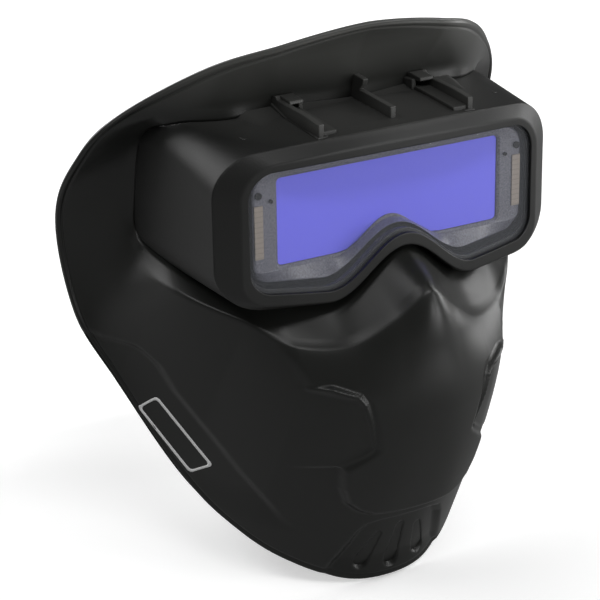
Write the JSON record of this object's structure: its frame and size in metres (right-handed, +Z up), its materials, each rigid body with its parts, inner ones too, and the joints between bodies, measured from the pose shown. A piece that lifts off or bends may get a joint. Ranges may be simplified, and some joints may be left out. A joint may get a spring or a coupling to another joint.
{
  "type": "welding mask",
  "caption": "Compact welding mask: auto-darkening goggles with a wide bezel in a moulded full-face shield, with a pivoting elastic head strap.",
  "frame": {"origin": "middle of the face seal, on the plane where the seal first meets the brow", "axes": "+Z up when worn, +Y from the mask towards the wearer's head, +X to the wearer's left; the window faces -Y"},
  "size_m": [0.218, 0.218, 0.2543],
  "materials": {
    "shield_plastic": "satin black moulded plastic",
    "housing_plastic": "fine-textured black moulded plastic",
    "seal_foam": "soft black foam with a fabric face",
    "filter_plastic": "dark grey printed plate",
    "filter_glass": "violet-blue mirror-coated filter",
    "clear_lens": "clear polycarbonate",
    "solar": "brownish amorphous cell",
    "small_black": "black plastic",
    "board": "green circuit board",
    "steel": "plain steel",
    "gasket_rubber": "black rubber",
    "webbing": "black woven elastic",
    "red_plastic": "red plastic"
  },
  "bodies": {
    "goggles": {"face_shield": "shield_plastic", "goggle_housing": "housing_plastic", "latch_rib": "housing_plastic", "rail_left": "housing_plastic", "rail_right": "housing_plastic", "seal_frame": "housing_plastic", "face_seal": "seal_foam", "filter_frame": "filter_plastic", "filter_glass": "filter_glass", "inner_lens": "clear_lens", "solar_cell_left": "solar", "solar_cell_right": "solar", "arc_sensor_left": "small_black", "arc_sensor_right": "small_black", "status_light_left": "small_black", "status_light_right": "small_black", "circuit_board": "board", "pivot_pin_left": "steel", "pivot_pin_right": "steel", "coin_cell": "steel"},
    "front_frame": {"front_bezel": "housing_plastic", "cover_lens": "clear_lens", "lens_gasket": "gasket_rubber"},
    "headband": {"strap_clip_left": "housing_plastic", "strap_clip_right": "housing_plastic", "strap_slider_left": "housing_plastic", "strap_slider_right": "housing_plastic", "head_strap": "webbing"},
    "shade_dial": {"shade_dial": "small_black"},
    "sensitivity_dial": {"sensitivity_dial": "small_black"},
    "delay_switch": {"delay_switch": "red_plastic"},
    "battery_cap": {"battery_cap": "housing_plastic"}
  },
  "joints": [
    {"name": "front_frame_release", "type": "slide", "parent": "goggles", "child": "front_frame", "axis": [0, -1, 0], "range_m": [0, 0.016]},
    {"name": "head_strap_swing", "type": "hinge", "parent": "goggles", "child": "headband", "pos_m": [0, 0.04, -0.002], "axis": [1, 0, 0], "range_deg": [-3, 70]},
    {"name": "shade_dial_turn", "type": "hinge", "parent": "goggles", "child": "shade_dial", "pos_m": [0.0596, -0.0476, 0.006], "axis": [0, 1, 0], "range_deg": [-135, 135]},
    {"name": "sensitivity_dial_turn", "type": "hinge", "parent": "goggles", "child": "sensitivity_dial", "pos_m": [-0.0596, -0.0476, 0.006], "axis": [0, 1, 0], "range_deg": [-135, 135]},
    {"name": "delay_switch_slide", "type": "slide", "parent": "goggles", "child": "delay_switch", "axis": [0, 0, 1], "range_m": [0, 0.004]},
    {"name": "battery_cap_turn", "type": "hinge", "parent": "goggles", "child": "battery_cap", "pos_m": [0.083, -0.026, 0], "axis": [1, 0, 0], "range_deg": [0, 60]}
  ]
}
